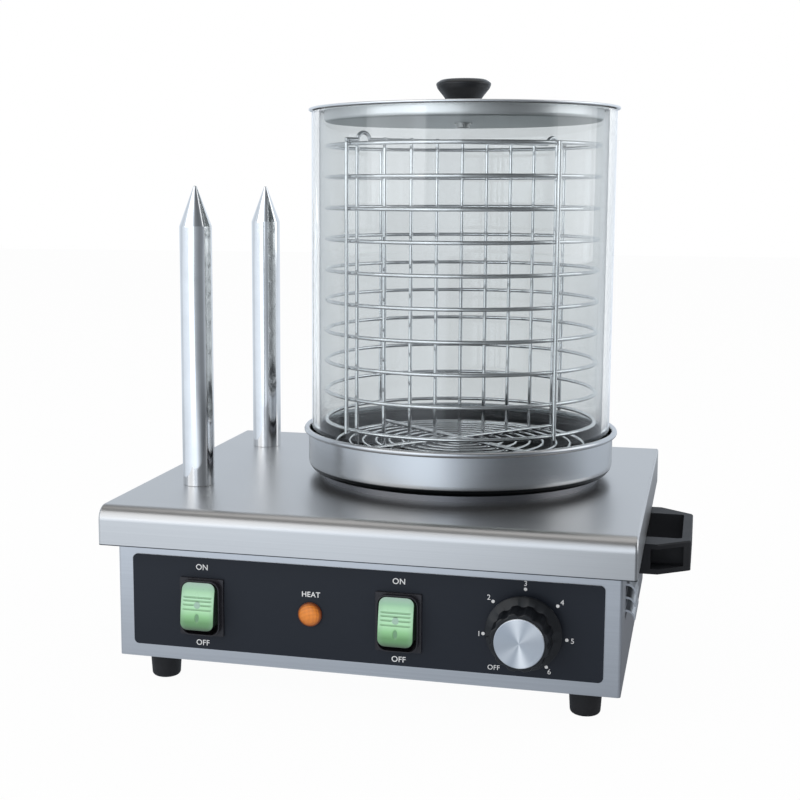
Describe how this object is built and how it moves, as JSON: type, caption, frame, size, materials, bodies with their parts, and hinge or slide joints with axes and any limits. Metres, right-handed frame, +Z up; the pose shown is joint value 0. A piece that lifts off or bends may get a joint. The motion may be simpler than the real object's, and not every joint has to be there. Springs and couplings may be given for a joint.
{
  "type": "hot dog machine",
  "caption": "Counter-top steamer with a glass cylinder over a water pan, a divided wire basket, heated bun spikes, rocker switches and a temperature dial.",
  "frame": {"origin": "on the ground under the middle of the worktop, which is the bottom centre of the bounding box", "axes": "+Z up, the control panel faces -Y, +X to the right seen from the front, towards the glass cylinder and the dial"},
  "size_m": [0.3792, 0.3178, 0.3793],
  "materials": {
    "worktop_steel": "brushed stainless sheet",
    "zinc_fastener": "bright zinc plate",
    "casing_steel": "brushed stainless sheet, grain along the front",
    "base_steel": "plain stainless sheet",
    "rear_steel": "brushed stainless sheet",
    "panel_black": "satin blue-black front plate",
    "switch_black": "satin black moulding",
    "tinned_brass": "tinned brass blade",
    "rocker_green": "translucent green, lit from behind",
    "lamp_amber": "translucent amber with a fine diamond pattern",
    "lamp_housing": "natural moulding",
    "thermostat_case": "moulded body",
    "bright_steel": "bright turned steel",
    "knob_black": "black moulding",
    "knob_cap_aluminium": "spun aluminium with a bright edge",
    "copper_sensor": "plain copper",
    "heating_plate_metal": "machined plate",
    "element_sheath": "dark sheathed element",
    "pan_steel": "polished spun stainless",
    "wire_chrome": "bright chrome wire",
    "cylinder_glass": "clear tempered glass",
    "lid_steel": "spun stainless with a circular grain",
    "lid_knob_black": "black moulding",
    "spike_steel": "polished bar",
    "handle_plastic": "satin black moulding",
    "foot_rubber": "black rubber",
    "gland_plastic": "black moulding"
  },
  "bodies": {
    "case": {"worktop": "worktop_steel", "worktop_nuts": "zinc_fastener", "casing": "casing_steel", "base_plate": "base_steel", "rear_panel": "rear_steel", "base_screws": "zinc_fastener", "rear_screws": "zinc_fastener", "control_panel": "panel_black", "switch_frame_left": "switch_black", "switch_frame_right": "switch_black", "switch_terminals_left": "tinned_brass", "switch_terminals_right": "tinned_brass", "lamp_lens": "lamp_amber", "lamp_body": "lamp_housing", "lamp_nut": "zinc_fastener", "thermostat_body": "thermostat_case", "thermostat_screws": "zinc_fastener", "thermostat_bulb": "copper_sensor", "heating_plate": "heating_plate_metal", "plate_stud": "zinc_fastener", "ring_element": "element_sheath", "clamp_bar": "base_steel", "clamp_nut": "zinc_fastener", "safety_cutout": "lamp_housing", "spike_front": "spike_steel", "spike_rear": "spike_steel", "spike_heater_front": "element_sheath", "spike_heater_rear": "element_sheath", "spike_nuts": "tinned_brass", "spike_washers": "zinc_fastener", "handle_right": "handle_plastic", "handle_left": "handle_plastic", "handle_screws": "zinc_fastener", "foot_front_left": "foot_rubber", "foot_front_right": "foot_rubber", "foot_rear_left": "foot_rubber", "foot_rear_right": "foot_rubber", "foot_screws": "zinc_fastener", "foot_nuts": "zinc_fastener", "cord_gland": "gland_plastic", "gland_nut": "gland_plastic", "terminal_block": "lamp_housing", "terminal_screws": "zinc_fastener", "earth_stud": "tinned_brass"},
    "left_rocker": {"rocker_left": "rocker_green"},
    "right_rocker": {"rocker_right": "rocker_green"},
    "dial": {"thermostat_knob": "knob_black", "knob_cap": "knob_cap_aluminium", "thermostat_shaft": "bright_steel"},
    "water_pan": {"pan": "pan_steel"},
    "steam_grill": {"grill": "wire_chrome"},
    "sausage_basket": {"basket": "wire_chrome", "divider": "wire_chrome"},
    "cylinder": {"glass_cylinder": "cylinder_glass"},
    "cover": {"lid": "lid_steel", "lid_knob": "lid_knob_black", "lid_screw": "zinc_fastener"}
  },
  "joints": [
    {"name": "left_switch", "type": "hinge", "parent": "case", "child": "left_rocker", "pos_m": [-0.0987, -0.1294, 0.0541], "axis": [1, 0, 0], "range_deg": [0, 21]},
    {"name": "right_switch", "type": "hinge", "parent": "case", "child": "right_rocker", "pos_m": [0.0244, -0.1294, 0.0541], "axis": [1, 0, 0], "range_deg": [0, 21]},
    {"name": "dial_turn", "type": "hinge", "parent": "case", "child": "dial", "pos_m": [0.0988, -0.14, 0.0549], "axis": [0, 1, 0], "range_deg": [-49.5, 247.5]},
    {"name": "pan_lift", "type": "slide", "parent": "case", "child": "water_pan", "axis": [0, 0, 1], "range_m": [0, 0.05]},
    {"name": "grill_lift", "type": "slide", "parent": "water_pan", "child": "steam_grill", "axis": [0, 0, 1], "range_m": [0, 0.04]},
    {"name": "basket_lift", "type": "slide", "parent": "steam_grill", "child": "sausage_basket", "axis": [0, 0, 1], "range_m": [0, 0.06]},
    {"name": "glass_lift", "type": "slide", "parent": "sausage_basket", "child": "cylinder", "axis": [0, 0, 1], "range_m": [0, 0.24]},
    {"name": "lid_lift", "type": "slide", "parent": "cylinder", "child": "cover", "axis": [0, 0, 1], "range_m": [0, 0.06]}
  ]
}
